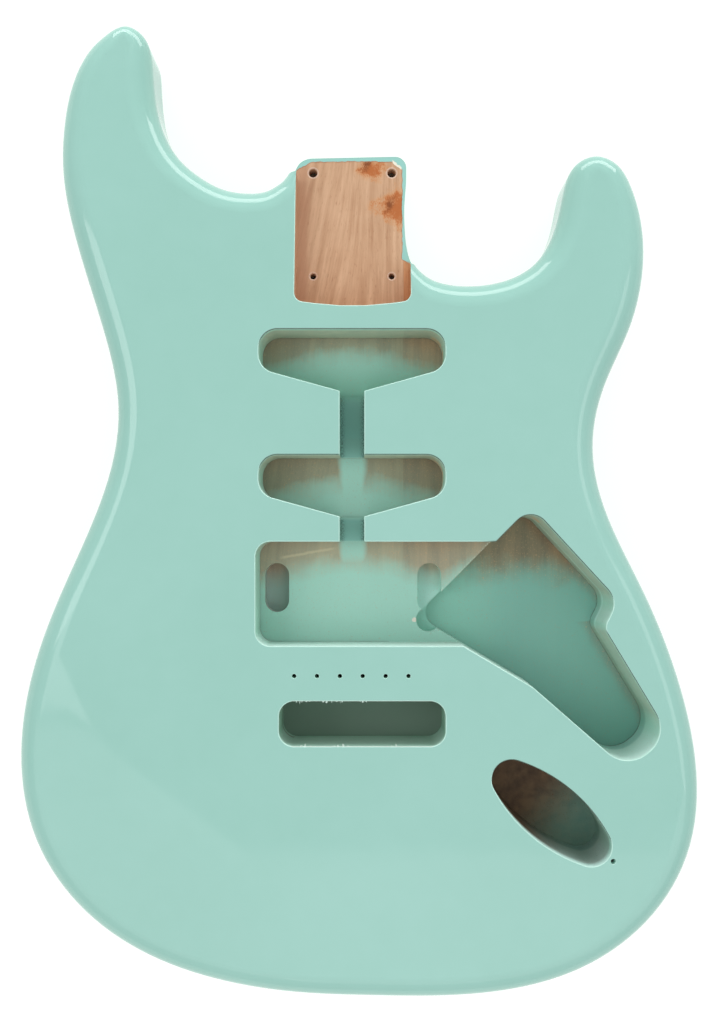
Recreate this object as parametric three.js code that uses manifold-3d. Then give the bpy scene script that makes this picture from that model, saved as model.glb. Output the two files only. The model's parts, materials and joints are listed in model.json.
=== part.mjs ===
// A solid double-cutaway electric guitar body without its fittings, lying on its back.
// Millimetres. X runs from the bass side to the treble side, Y towards the neck, Z out of the front.
// The origin is on the back, under the middle of the heel end of the neck pocket.
import * as THREE from 'three';
import { mergeVertices, toCreasedNormals } from 'three/addons/utils/BufferGeometryUtils.js';
import Module from 'manifold-3d';

const wasm = await Module();
wasm.setup();

// Whole body: the reaches are measured from the neck's centreline and from the pocket's heel end.
// In a narrow horn the edge radius is at most a share of the largest circle that fits there.
const bodyWidth = 327.2;
const bassReach = 161.2;
const bodyLength = 464;
const hornReach = 133.2;
const bodyThickness = 45;
const edgeRadius = 12.5;
const narrowEdgeShare = 0.9;

// Neck block, which carries the pocket between the two cutaways
const blockEnd = 74.3;
const blockEndSlant = 0.9;
const blockBassCorner = 19.5;
const blockTrebleSide = 26.2;
const blockCornerRadius = 5.5;
const blockEdgeShare = 0.28;

// Forearm contour on the front of the bass lower bout
const forearmLine = 181.5;
const forearmAngle = 212.4;
const forearmBend = 35;
const forearmSlopeShare = 0.115;

// Belly contour on the back of the bass waist
const bellyDepth = 17;
const bellyLine = 45;
const bellyWidth = 68;
const bellyMiddle = 60;
const bellyReach = 98;
const bellyBendShare = 0.4;

// Neck pocket and the four bolt holes through its floor
const pocketDepth = 16;
const pocketBassSide = 27.3;
const pocketBassTaper = 1.1;
const pocketTrebleSide = 27.8;
const pocketHeelBow = 3.7;
const pocketHeelRadius = 140;
const pocketCornerRadius = 4.2;
const boltSpacing = 38.2;
const heelBoltLine = 16.2;
const endBoltLine = 66.4;
const heelBoltRadius = 1.45;
const endBoltRadius = 2.1;

// Pickup routs and the wiring channel that joins them to the bridge pool
const routDepth = 24;
const pickupRoutWidth = 88.3;
const pickupRoutSide = 18.5;
const pickupRoutLength = 29.1;
const pickupRoutRadius = 9;
const neckRoutLine = 12.5;
const pickupSpacing = 59.3;
const channelWidth = 11.6;
const channelDepth = 23;

// Bridge pool, with a deeper slot for each mounting leg of the pickup
const poolBassSide = 45.6;
const poolFront = 112.8;
const poolTail = 162.1;
const poolRadius = 7;
const poolTrebleFront = 70;
const poolTrebleTail = 56;
const legSlotDepth = 32;
const legSlotWidth = 11.8;
const legSlotLength = 24.1;
const legSlotLine = 135.4;
const bassLegSide = 37.2;
const trebleLegSide = 37.8;
const legSlotRadius = 5.89;
const plungeRadius = 6.2;
const plungeSide = 37.5;
const plungeLine = 151.1;

// Control cavity, which keeps its distance from the treble reach
const controlDepth = 38.5;
const controlBassSide = 36;
const controlEdgeDistance = 21.5;
const controlTail = 215.5;
const controlLength = 115.6;

// Jack cavity, an oval with bulging sides, its plate's screw hole and its hole for the wires
const jackDepth = 37;
const jackLength = 68;
const jackWidth = 28.5;
const jackEndRadius = 9.5;
const jackEdgeDistance = 71.7;
const jackLine = 241;
const jackAngle = -39.8;
const jackScrewReach = 36.9;
const jackScrewOffset = 1;
const jackScrewRadius = 1.2;
const jackScrewDepth = 16;
const jackWireEdgeDistance = 37;
const jackWireLine = 205;
const jackWireHeight = 20;
const jackWireRadius = 4;

// Tremolo slot and the row of bridge screw holes in front of it
const slotBassSide = 34.5;
const slotTrebleSide = 44.2;
const slotFront = 188.2;
const slotLength = 21.2;
const slotRadius = 7.2;
const bridgeScrewCount = 6;
const bridgeScrewSpacing = 10.8;
const bridgeScrewLine = 176.3;
const bridgeScrewOffset = 0.3;
const bridgeScrewRadius = 1.05;
const bridgeScrewDepth = 25;

// Spring cavity in the back, with its recess for the tremolo block and its ground wire hole
const springDepth = 16;
const springWidth = 58;
const springFront = 100;
const springRadius = 6.3;
const recessSide = 1.5;
const recessEnd = 4;
const groundWireLine = 150;
const groundWireHeight = 10.5;
const groundWireRadius = 2;
const groundWireReach = 44;

// Boards of the glued blank: the outer seams lie at shares of the reaches
const centreBoardBassEdge = 28;
const centreBoardTrebleEdge = 25;
const bassSeamShare = 0.502;
const trebleSeamShare = 0.47;

// Facets: turn and length of a facet along the outline, steps of a rounded edge, sag of a contour
const facetTurn = 8;
const facetLength = 15;
const edgeFacets = 5;
const contourSag = 0.2;
const contourShortest = 8;
const contourPasses = 14;
const cornerCurveSegments = 3;
const shadingCrease = 35;
const holeSides = 20;
const cutOverrun = 2;

const trebleReach = bodyWidth - bassReach;
const tailReach = bodyLength - hornReach;
const controlWidth = trebleReach - controlEdgeDistance - controlBassSide;
const quarterTurn = Math.PI / 2;
const lacquerColour = 0xa3d0c4;

// Anchors of the outline, from the block's bass corner round the horns and bouts to its treble side.
// Each has its place as shares of the reach across and along, and its share of the edge radius.
// In the cutaways the share across runs from the block's side, 0, to the reach, 1.
// The anchors on the block's treble side are shares of the block's own reach.
const bassCutawayShares = [
  [0.043, 0.533, 0.32],
  [0.067, 0.487, 0.6],
  [0.110, 0.441, 0.9],
  [0.160, 0.416, 1],
  [0.220, 0.411, 1],
  [0.301, 0.426, 1],
  [0.383, 0.473, 1],
  [0.447, 0.532, 1],
  [0.498, 0.619, 1],
  [0.529, 0.736, 1],
];
const bassHornShares = [
  [-0.595, 0.863, 0.95],
  [-0.612, 0.956, 0.72],
  [-0.664, 1.000, 0.66],
  [-0.752, 0.956, 0.9],
  [-0.824, 0.834, 1],
  [-0.861, 0.634, 1],
  [-0.861, 0.456, 1],
];
const bassSideShares = [
  [-0.816, 0.204, 1],
  [-0.743, -0.034, 1],
  [-0.699, -0.145, 1],
  [-0.731, -0.252, 1],
  [-0.839, -0.382, 1],
  [-0.949, -0.514, 1],
  [-1.000, -0.650, 1],
  [-0.957, -0.780, 1],
  [-0.808, -0.885, 1],
];
const tailShares = [
  [-0.578, -0.955, 1],
  [-0.274, -0.991, 1],
  [0.052, -1.000, 1],
  [0.370, -0.997, 1],
  [0.660, -0.961, 1],
  [0.873, -0.881, 1],
];
const trebleSideShares = [
  [0.979, -0.782, 1],
  [0.998, -0.674, 1],
  [0.950, -0.550, 1],
  [0.850, -0.419, 1],
  [0.740, -0.303, 1],
  [0.698, -0.206, 1],
  [0.732, -0.114, 1],
  [0.807, -0.027, 1],
];
const trebleHornShares = [
  [0.845, 0.195, 1],
  [0.817, 0.405, 1],
  [0.759, 0.518, 0.9],
  [0.693, 0.538, 0.78],
  [0.639, 0.500, 0.8],
  [0.613, 0.420, 0.95],
  [0.595, 0.315, 1],
];
const trebleCutawayShares = [
  [0.455, 0.173, 1],
  [0.349, 0.100, 1],
  [0.226, 0.077, 1],
  [0.109, 0.091, 1],
  [0.038, 0.135, 0.8],
  [0.004, 0.210, 0.5],
];
const trebleBlockShares = [
  [0.969, 0.538, 0.3],
  [0.963, 0.672, 0.28],
  [0.995, 0.821, 0.28],
];

// Corners of the control cavity before rounding, as shares of its width and length, and their radii
// as shares of the shorter of the two
const controlCornerShares = [
  [0.448, 1.032, 0.083],
  [-0.041, 0.570, 0.074],
  [0.457, 0.293, 0.138],
  [0.866, -0.042, 0.128],
  [1.046, 0.099, 0.128],
  [0.765, 0.536, 0.055],
  [0.825, 0.648, 0.092],
];

// Slopes of a smooth curve through anchors, settled until its curvature has no jumps
function curveSlopes(anchors, gaps, startSlope, endSlope) {
  const slopes = anchors.map(() => new THREE.Vector2());
  slopes[0].copy(startSlope);
  slopes[anchors.length - 1].copy(endSlope);
  const settleRounds = 60;
  for (let round = 0; round < settleRounds; round += 1) {
    for (let i = 1; i < anchors.length - 1; i += 1) {
      const before = gaps[i - 1];
      const after = gaps[i];
      const pull = anchors[i].clone().sub(anchors[i - 1]).multiplyScalar((3 * after) / before);
      pull.addScaledVector(anchors[i + 1].clone().sub(anchors[i]), (3 * before) / after);
      pull.addScaledVector(slopes[i - 1], -after).addScaledVector(slopes[i + 1], -before);
      slopes[i].copy(pull.divideScalar(2 * (before + after)));
    }
  }
  return slopes;
}

// Place and direction at a share of one span of the curve
function curvePlace(from, to, fromSlope, toSlope, gap, share) {
  const square = share * share;
  const cube = square * share;
  const place = from.clone().multiplyScalar(2 * cube - 3 * square + 1);
  place.addScaledVector(fromSlope, gap * (cube - 2 * square + share));
  place.addScaledVector(to, 3 * square - 2 * cube);
  place.addScaledVector(toSlope, gap * (cube - square));
  const direction = from.clone().multiplyScalar((6 * square - 6 * share) / gap);
  direction.addScaledVector(fromSlope, 3 * square - 4 * share + 1);
  direction.addScaledVector(to, (6 * share - 6 * square) / gap);
  direction.addScaledVector(toSlope, 3 * square - 2 * share);
  return { place, direction: direction.normalize() };
}

// Steps that one span needs so that no facet turns or runs too far
function stepsInSpan(spanAt) {
  const looks = 8;
  let turn = 0;
  let run = 0;
  for (let look = 1; look <= looks; look += 1) {
    const before = spanAt((look - 1) / looks);
    const after = spanAt(look / looks);
    turn += Math.acos(Math.min(1, before.direction.dot(after.direction)));
    run += before.place.distanceTo(after.place);
  }
  return Math.ceil(Math.max(THREE.MathUtils.radToDeg(turn) / facetTurn, run / facetLength));
}

// Radius of the largest circle inside the outline that touches it at a point
function innerCircleRadius({ place, outward }, outline) {
  const radii = outline.map((other) => {
    const away = place.clone().sub(other.place);
    const depth = away.dot(outward);
    return depth > 0 ? away.lengthSq() / (2 * depth) : Infinity;
  });
  return Math.min(...radii);
}

// The body's outline, anticlockwise from above: each point with its outward direction and edge radius.
// The rounded edges of a narrow horn or tip leave a flat between them.
function bodyOutline() {
  const blockBassPoint = [-blockBassCorner, blockEnd - blockEndSlant, blockEdgeShare];
  const blockTreblePoint = [blockTrebleSide, blockEnd - blockCornerRadius, blockEdgeShare];
  const alongPlace = (along) => along * (along < 0 ? tailReach : hornReach);
  const boutShares = [
    ...bassHornShares,
    ...bassSideShares,
    ...tailShares,
    ...trebleSideShares,
    ...trebleHornShares,
  ];
  const bassCutawayPoints = bassCutawayShares.map(([across, along, edge]) => [
    THREE.MathUtils.lerp(-blockBassCorner, -bassReach, across),
    alongPlace(along),
    edge,
  ]);
  const boutPoints = boutShares.map(([across, along, edge]) => [
    across * (across < 0 ? bassReach : trebleReach),
    alongPlace(along),
    edge,
  ]);
  const trebleCutawayPoints = trebleCutawayShares.map(([across, along, edge]) => [
    THREE.MathUtils.lerp(blockTrebleSide, trebleReach, across),
    alongPlace(along),
    edge,
  ]);
  const trebleBlockPoints = trebleBlockShares.map(([across, along, edge]) => [
    across * blockTrebleSide,
    along * blockEnd,
    edge,
  ]);
  const rows = [
    blockBassPoint,
    ...bassCutawayPoints,
    ...boutPoints,
    ...trebleCutawayPoints,
    ...trebleBlockPoints,
    blockTreblePoint,
  ];
  const anchors = rows.map(([x, y]) => new THREE.Vector2(x, y));
  const gapPower = 0.75;
  const runs = anchors.slice(1).map((anchor, i) => anchor.distanceTo(anchors[i]));
  const gaps = runs.map((run) => Math.pow(run, gapPower));
  const blockWidth = blockBassCorner + blockTrebleSide - blockCornerRadius;
  const startSlope = new THREE.Vector2(-blockWidth, -blockEndSlant).setLength(runs[0] / gaps[0]);
  const endSlope = new THREE.Vector2(0, runs.at(-1) / gaps.at(-1));
  const slopes = curveSlopes(anchors, gaps, startSlope, endSlope);
  const outline = [];
  const addPoint = (place, direction, edgeShare) => {
    const outward = new THREE.Vector2(direction.y, -direction.x);
    outline.push({ place, outward, edge: edgeShare * edgeRadius });
  };
  for (let i = 0; i < gaps.length; i += 1) {
    const spanAt = (share) =>
      curvePlace(anchors[i], anchors[i + 1], slopes[i], slopes[i + 1], gaps[i], share);
    const steps = stepsInSpan(spanAt);
    for (let step = 0; step < steps; step += 1) {
      const { place, direction } = spanAt(step / steps);
      const blend = THREE.MathUtils.smoothstep(step / steps, 0, 1);
      addPoint(place, direction, THREE.MathUtils.lerp(rows[i][2], rows[i + 1][2], blend));
    }
  }
  const cornerSteps = Math.ceil(THREE.MathUtils.radToDeg(quarterTurn) / facetTurn / 2);
  for (let step = 0; step <= cornerSteps; step += 1) {
    const turn = (quarterTurn * step) / cornerSteps;
    const outward = new THREE.Vector2(Math.cos(turn), Math.sin(turn));
    const place = new THREE.Vector2(blockTrebleSide, blockEnd).subScalar(blockCornerRadius);
    place.addScaledVector(outward, blockCornerRadius);
    addPoint(place, new THREE.Vector2(-outward.y, outward.x), blockEdgeShare);
  }
  for (const point of outline) {
    point.edge = Math.min(point.edge, narrowEdgeShare * innerCircleRadius(point, outline));
  }
  return outline;
}

// A slope that grows evenly over the bend and then stays: the fall at a distance past its start
function easedFall(distance, bend) {
  if (distance <= 0) return 0;
  return distance < bend ? (distance * distance) / (2 * bend) : distance - bend / 2;
}

// Height of the front before its edge is rounded
function frontHeight(x, y) {
  const angle = THREE.MathUtils.degToRad(forearmAngle);
  const distance = x * Math.cos(angle) + y * Math.sin(angle) - forearmLine;
  return bodyThickness - forearmSlopeShare * easedFall(distance, forearmBend);
}

// Height of the back before its edge is rounded
function backHeight(x, y) {
  const along = Math.abs(y + bellyMiddle) / bellyReach;
  if (along >= 1) return 0;
  const across = (-bellyLine - x) / bellyWidth;
  const scoop = easedFall(across, bellyBendShare) / easedFall(1, bellyBendShare);
  return bellyDepth * scoop * Math.cos(quarterTurn * along) ** 2;
}

// How far a straight edge lies off the height that it should follow
function edgeSag(from, to, height) {
  const fromHeight = height(from.x, from.y);
  const toHeight = height(to.x, to.y);
  const lookShares = [0.25, 0.5, 0.75];
  const sags = lookShares.map((share) => {
    const place = from.clone().lerp(to, share);
    return Math.abs(height(place.x, place.y) - THREE.MathUtils.lerp(fromHeight, toHeight, share));
  });
  return Math.max(...sags);
}

const edgeName = (a, b) => `${Math.min(a, b)}-${Math.max(a, b)}`;

// Divides a triangle at the new middle points of its edges
function divideTriangle(corners, middles) {
  for (let i = 0; i < corners.length; i += 1) {
    const [a, b, c] = [corners[i], corners[(i + 1) % 3], corners[(i + 2) % 3]];
    const middle = middles.get(edgeName(a, b));
    if (middle !== undefined) {
      return [...divideTriangle([a, middle, c], middles), ...divideTriangle([middle, b, c], middles)];
    }
  }
  return [corners];
}

// Triangles of a flat cap, divided until they follow the height; the cap's border stays as it is.
// Where an edge lies off the height, its triangle is divided at its longest inner edge.
function contouredCap(border, height) {
  const points = border.map((point) => point.clone());
  let triangles = THREE.ShapeUtils.triangulateShape(border, []);
  for (let pass = 0; pass < contourPasses; pass += 1) {
    const uses = new Map();
    const edgesOf = (corners) => corners.map((a, i) => [a, corners[(i + 1) % 3]]);
    for (const [a, b] of triangles.flatMap(edgesOf)) {
      uses.set(edgeName(a, b), (uses.get(edgeName(a, b)) ?? 0) + 1);
    }
    const middles = new Map();
    for (const corners of triangles) {
      const inner = edgesOf(corners).filter(([a, b]) => uses.get(edgeName(a, b)) > 1);
      const runOf = ([a, b]) => points[a].distanceTo(points[b]);
      const sagging = inner.some(([a, b]) => edgeSag(points[a], points[b], height) > contourSag);
      const [longest] = inner.sort((first, second) => runOf(second) - runOf(first));
      if (sagging && runOf(longest) > contourShortest && !middles.has(edgeName(...longest))) {
        middles.set(edgeName(...longest), points.length);
        points.push(points[longest[0]].clone().lerp(points[longest[1]], 0.5));
      }
    }
    triangles = triangles.flatMap((corners) => divideTriangle(corners, middles));
  }
  return { points, triangles };
}

// A solid from vertices and triangles of vertex numbers
function solidFrom(vertices, triangles) {
  const vertProperties = new Float32Array(vertices.flatMap((vertex) => [vertex.x, vertex.y, vertex.z]));
  const triVerts = new Uint32Array(triangles.flat());
  return new wasm.Manifold(new wasm.Mesh({ numProp: 3, vertProperties, triVerts }));
}

// The shaped blank before it is routed: rings round the rounded edges, capped by front and back
function shapedBlank() {
  const outline = bodyOutline();
  const count = outline.length;
  const ringAt = (turn, height, outwards) =>
    outline.map(({ place, outward, edge }) => {
      const inner = place.clone().addScaledVector(outward, -edge * (1 - Math.sin(turn)));
      const level = height(inner.x, inner.y) + outwards * edge * (1 - Math.cos(turn));
      return new THREE.Vector3(inner.x, inner.y, level);
    });
  const turns = Array.from({ length: edgeFacets + 1 }, (_, step) => (quarterTurn * step) / edgeFacets);
  const frontRings = turns.map((turn) => ringAt(turn, frontHeight, -1));
  const backRings = turns.map((turn) => ringAt(turn, backHeight, 1)).reverse();
  const rings = [...frontRings, ...backRings];
  const vertices = rings.flat();
  const triangles = [];
  for (let ring = 0; ring < rings.length - 1; ring += 1) {
    for (let i = 0; i < count; i += 1) {
      const next = (i + 1) % count;
      const upper = ring * count;
      const lower = upper + count;
      triangles.push([lower + i, lower + next, upper + next]);
      triangles.push([lower + i, upper + next, upper + i]);
    }
  }
  const addCap = (ring, height, reversed) => {
    const border = rings[ring].map((vertex) => new THREE.Vector2(vertex.x, vertex.y));
    const cap = contouredCap(border, height);
    const added = vertices.length - count;
    for (const point of cap.points.slice(count)) {
      vertices.push(new THREE.Vector3(point.x, point.y, height(point.x, point.y)));
    }
    for (const corners of cap.triangles) {
      const numbers = corners.map((corner) => corner + (corner < count ? ring * count : added));
      triangles.push(reversed ? numbers.reverse() : numbers);
    }
  };
  addCap(0, frontHeight, false);
  addCap(rings.length - 1, backHeight, true);
  return solidFrom(vertices, triangles);
}

// A solid from a closed geometry
function solidOf(geometry) {
  geometry.deleteAttribute('normal');
  geometry.deleteAttribute('uv');
  const merged = mergeVertices(geometry);
  const vertProperties = merged.attributes.position.array;
  const triVerts = new Uint32Array(merged.index.array);
  return new wasm.Manifold(new wasm.Mesh({ numProp: 3, vertProperties, triVerts }));
}

// A cutter with upright walls between two heights
function prism(shape, bottom, top) {
  const settings = { depth: top - bottom, bevelEnabled: false, curveSegments: cornerCurveSegments };
  return solidOf(new THREE.ExtrudeGeometry(shape, settings).translate(0, 0, bottom));
}

// A pocket routed from the front to a depth
function frontRout(shape, depth) {
  return prism(shape, bodyThickness - depth, bodyThickness + cutOverrun);
}

// A round hole along a straight line
function drilledHole(from, to, radius) {
  const axis = to.clone().sub(from);
  const upright = new THREE.Vector3(0, 1, 0);
  const turn = new THREE.Quaternion().setFromUnitVectors(upright, axis.clone().normalize());
  const middle = from.clone().lerp(to, 0.5);
  const geometry = new THREE.CylinderGeometry(radius, radius, axis.length(), holeSides);
  return solidOf(geometry.applyQuaternion(turn).translate(middle.x, middle.y, middle.z));
}

// An upright hole in the front at a depth
function frontHole(x, y, radius, depth) {
  const bottom = new THREE.Vector3(x, y, bodyThickness - depth);
  return drilledHole(bottom, new THREE.Vector3(x, y, bodyThickness + cutOverrun), radius);
}

// A closed shape with rounded corners, from corners given as x, y and radius
function roundedShape(corners) {
  const shape = new THREE.Shape();
  const places = corners.map(([x, y]) => new THREE.Vector2(x, y));
  corners.forEach(([, , radius], i) => {
    const corner = places[i];
    const toBefore = places.at(i - 1).clone().sub(corner).normalize();
    const toAfter = places[(i + 1) % places.length].clone().sub(corner).normalize();
    const half = Math.acos(toBefore.dot(toAfter)) / 2;
    const inward = toBefore.clone().add(toAfter).normalize();
    const centre = corner.clone().addScaledVector(inward, radius / Math.sin(half));
    const start = corner.clone().addScaledVector(toBefore, radius / Math.tan(half)).sub(centre);
    const end = corner.clone().addScaledVector(toAfter, radius / Math.tan(half)).sub(centre);
    const clockwise = start.cross(end) < 0;
    shape.absarc(centre.x, centre.y, radius, start.angle(), end.angle(), clockwise);
  });
  return shape;
}

// A rectangle with rounded corners
function roundedRectangle(left, right, bottom, top, radius) {
  return roundedShape([
    [left, bottom, radius],
    [right, bottom, radius],
    [right, top, radius],
    [left, top, radius],
  ]);
}

// A plain rectangle
function rectangle(left, right, bottom, top) {
  return new THREE.Shape([
    new THREE.Vector2(left, bottom),
    new THREE.Vector2(right, bottom),
    new THREE.Vector2(right, top),
    new THREE.Vector2(left, top),
  ]);
}

// Neck pocket: bowed heel end, tapered bass wall, open at the block's end
function neckPocket() {
  const middle = (pocketTrebleSide - pocketBassSide) / 2;
  const halfWidth = (pocketTrebleSide + pocketBassSide) / 2;
  const rise = Math.atan2(pocketHeelBow, halfWidth);
  const bowLine = -pocketHeelRadius * (1 / Math.cos(rise) - 1);
  const openEnd = blockEnd + pocketCornerRadius + cutOverrun;
  return frontRout(
    roundedShape([
      [-pocketBassSide, bowLine + pocketHeelBow, pocketCornerRadius],
      [middle, bowLine, pocketHeelRadius],
      [pocketTrebleSide, bowLine + pocketHeelBow, pocketCornerRadius],
      [pocketTrebleSide, openEnd, pocketCornerRadius],
      [-pocketBassSide + pocketBassTaper, openEnd, pocketCornerRadius],
    ]),
    pocketDepth,
  );
}

// The four bolt holes through the pocket's floor
function neckBoltHoles() {
  const rows = [
    [heelBoltLine, heelBoltRadius],
    [endBoltLine, endBoltRadius],
  ];
  return rows.flatMap(([line, radius]) =>
    [-boltSpacing / 2, boltSpacing / 2].map((side) => {
      const below = new THREE.Vector3(side, line, -cutOverrun);
      return drilledHole(below, new THREE.Vector3(side, line, bodyThickness), radius);
    }),
  );
}

// A pickup rout: straight sides, then shoulders that slope in to the wiring channel
function pickupRout(front) {
  const halfWidth = pickupRoutWidth / 2;
  const throat = channelWidth / 2;
  const shoulder = front - pickupRoutSide;
  const tail = front - pickupRoutLength;
  const squareCorner = 0;
  return frontRout(
    roundedShape([
      [-halfWidth, front, pickupRoutRadius],
      [-halfWidth, shoulder, pickupRoutRadius],
      [-throat, tail, squareCorner],
      [throat, tail, squareCorner],
      [halfWidth, shoulder, pickupRoutRadius],
      [halfWidth, front, pickupRoutRadius],
    ]),
    routDepth,
  );
}

// The wiring channel from the neck pickup's rout to the bridge pool
function wiringChannel() {
  const front = -neckRoutLine - pickupRoutSide;
  const tail = -poolFront - poolRadius;
  return frontRout(rectangle(-channelWidth / 2, channelWidth / 2, tail, front), channelDepth);
}

// Bridge pool, open to the control cavity, with its leg slots and the round plunge beside them
function bridgePool() {
  const pool = roundedShape([
    [-poolBassSide, -poolFront, poolRadius],
    [-poolBassSide, -poolTail, poolRadius],
    [poolTrebleTail, -poolTail, 0],
    [poolTrebleFront, -poolFront, 0],
  ]);
  const legSlot = (side) => {
    const halfWidth = legSlotWidth / 2;
    const tail = -legSlotLine - legSlotLength / 2;
    const front = -legSlotLine + legSlotLength / 2;
    return roundedRectangle(side - halfWidth, side + halfWidth, tail, front, legSlotRadius);
  };
  return [
    frontRout(pool, routDepth),
    frontRout(legSlot(-bassLegSide), legSlotDepth),
    frontRout(legSlot(trebleLegSide), legSlotDepth),
    frontHole(plungeSide, -plungeLine, plungeRadius, legSlotDepth),
  ];
}

// Control cavity
function controlCavity() {
  const shorterSide = Math.min(controlWidth, controlLength);
  const corners = controlCornerShares.map(([across, along, radius]) => [
    controlBassSide + across * controlWidth,
    -controlTail + along * controlLength,
    radius * shorterSide,
  ]);
  return frontRout(roundedShape(corners), controlDepth);
}

// Jack cavity: four arcs that meet smoothly, turned with its plate; the plate's screw; the wires' hole
function jackCavity() {
  const halfWidth = jackWidth / 2;
  const endReach = jackLength / 2 - jackEndRadius;
  const sideRadius =
    (endReach ** 2 + halfWidth ** 2 - jackEndRadius ** 2) / (2 * (halfWidth - jackEndRadius));
  const turn = THREE.MathUtils.degToRad(jackAngle);
  const along = new THREE.Vector2(Math.cos(turn), Math.sin(turn));
  const across = new THREE.Vector2(-along.y, along.x);
  const endTurn = Math.atan2(sideRadius - halfWidth, endReach);
  const centre = new THREE.Vector2(trebleReach - jackEdgeDistance, -jackLine);
  const shape = new THREE.Shape();
  for (const side of [1, -1]) {
    const heading = turn + (side > 0 ? 0 : Math.PI);
    const end = centre.clone().addScaledVector(along, side * endReach);
    const middle = centre.clone().addScaledVector(across, side * (halfWidth - sideRadius));
    shape.absarc(end.x, end.y, jackEndRadius, heading - endTurn, heading + endTurn, false);
    shape.absarc(middle.x, middle.y, sideRadius, heading + endTurn, heading + Math.PI - endTurn, false);
  }
  const screw = centre.clone().addScaledVector(along, jackScrewReach);
  screw.addScaledVector(across, jackScrewOffset);
  const wireSide = trebleReach - jackWireEdgeDistance;
  const wireFrom = new THREE.Vector3(wireSide, -jackWireLine, jackWireHeight);
  const wireTo = new THREE.Vector3(centre.x, centre.y, jackWireHeight);
  return [
    frontRout(shape, jackDepth),
    frontHole(screw.x, screw.y, jackScrewRadius, jackScrewDepth),
    drilledHole(wireFrom, wireTo, jackWireRadius),
  ];
}

// Tremolo slot right through the body, and the bridge screw holes in front of it
function tremoloSlot() {
  const slotTail = -slotFront - slotLength;
  const slot = roundedRectangle(-slotBassSide, slotTrebleSide, slotTail, -slotFront, slotRadius);
  const screws = Array.from({ length: bridgeScrewCount }, (_, i) => {
    const side = (i - (bridgeScrewCount - 1) / 2) * bridgeScrewSpacing - bridgeScrewOffset;
    return frontHole(side, -bridgeScrewLine, bridgeScrewRadius, bridgeScrewDepth);
  });
  return [frontRout(slot, bodyThickness + cutOverrun), ...screws];
}

// Spring cavity in the back: the spring run, the block's recess and the hole for the ground wire
function springCavity() {
  const recessTail = -slotFront - slotLength - recessEnd;
  const recessFront = -slotFront + recessEnd;
  const halfWidth = springWidth / 2;
  const recessBass = -slotBassSide - recessSide;
  const recessTreble = slotTrebleSide + recessSide;
  const springRun = roundedRectangle(-halfWidth, halfWidth, recessTail, -springFront, springRadius);
  const recess = roundedRectangle(recessBass, recessTreble, recessTail, recessFront, springRadius);
  const wireFrom = new THREE.Vector3(0, -groundWireLine, groundWireHeight);
  const wireTo = new THREE.Vector3(groundWireReach, -groundWireLine, groundWireHeight);
  return [
    prism(springRun, -cutOverrun, springDepth),
    prism(recess, -cutOverrun, springDepth),
    drilledHole(wireFrom, wireTo, groundWireRadius),
  ];
}

// The finished body before it is told apart into its boards
function routedBody() {
  const cuts = [
    neckPocket(),
    ...neckBoltHoles(),
    pickupRout(-neckRoutLine),
    pickupRout(-neckRoutLine - pickupSpacing),
    wiringChannel(),
    ...bridgePool(),
    controlCavity(),
    ...jackCavity(),
    ...tremoloSlot(),
    ...springCavity(),
  ];
  return cuts.reduce((body, cut) => body.subtract(cut), shapedBlank());
}

// A mesh from a solid, lacquered on the outside
function boardMesh(name, solid) {
  const { vertProperties, triVerts } = solid.getMesh();
  const geometry = new THREE.BufferGeometry();
  geometry.setAttribute('position', new THREE.BufferAttribute(vertProperties, 3));
  geometry.setIndex(new THREE.BufferAttribute(triVerts, 1));
  const creaseAngle = THREE.MathUtils.degToRad(shadingCrease);
  const lacquer = new THREE.MeshStandardMaterial({ color: lacquerColour, roughness: 0.12, metalness: 0 });
  const mesh = new THREE.Mesh(toCreasedNormals(geometry, creaseAngle), lacquer);
  mesh.name = name;
  return mesh;
}

// The boards meet at glued butt joints that run the length of the body
function bodyBoards() {
  const body = routedBody();
  const bassOuterSeam = -bassReach * bassSeamShare;
  const trebleOuterSeam = trebleReach * trebleSeamShare;
  const slotMiddle = -slotFront - slotLength / 2;
  const front = hornReach + cutOverrun;
  const tail = -tailReach - cutOverrun;
  const bass = -bassReach - cutOverrun;
  const treble = trebleReach + cutOverrun;
  const places = {
    bass_outer_board: [bass, bassOuterSeam, tail, front],
    bass_inner_board: [bassOuterSeam, -centreBoardBassEdge, tail, front],
    centre_board: [-centreBoardBassEdge, centreBoardTrebleEdge, slotMiddle, front],
    centre_tail_board: [-centreBoardBassEdge, centreBoardTrebleEdge, tail, slotMiddle],
    treble_inner_board: [centreBoardTrebleEdge, trebleOuterSeam, tail, front],
    treble_outer_board: [trebleOuterSeam, treble, tail, front],
  };
  return Object.entries(places).map(([name, sides]) => {
    const slab = prism(rectangle(...sides), -cutOverrun, bodyThickness + cutOverrun);
    return boardMesh(name, body.intersect(slab));
  });
}

const guitarBody = new THREE.Group();
guitarBody.name = 'guitar_body';
guitarBody.add(...bodyBoards());

export default guitarBody;
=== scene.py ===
import json
import math
import random
from types import SimpleNamespace

import bmesh
import bpy
import numpy as np
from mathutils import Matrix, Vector
from mathutils.geometry import delaunay_2d_cdt
from mathutils.kdtree import KDTree

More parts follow.
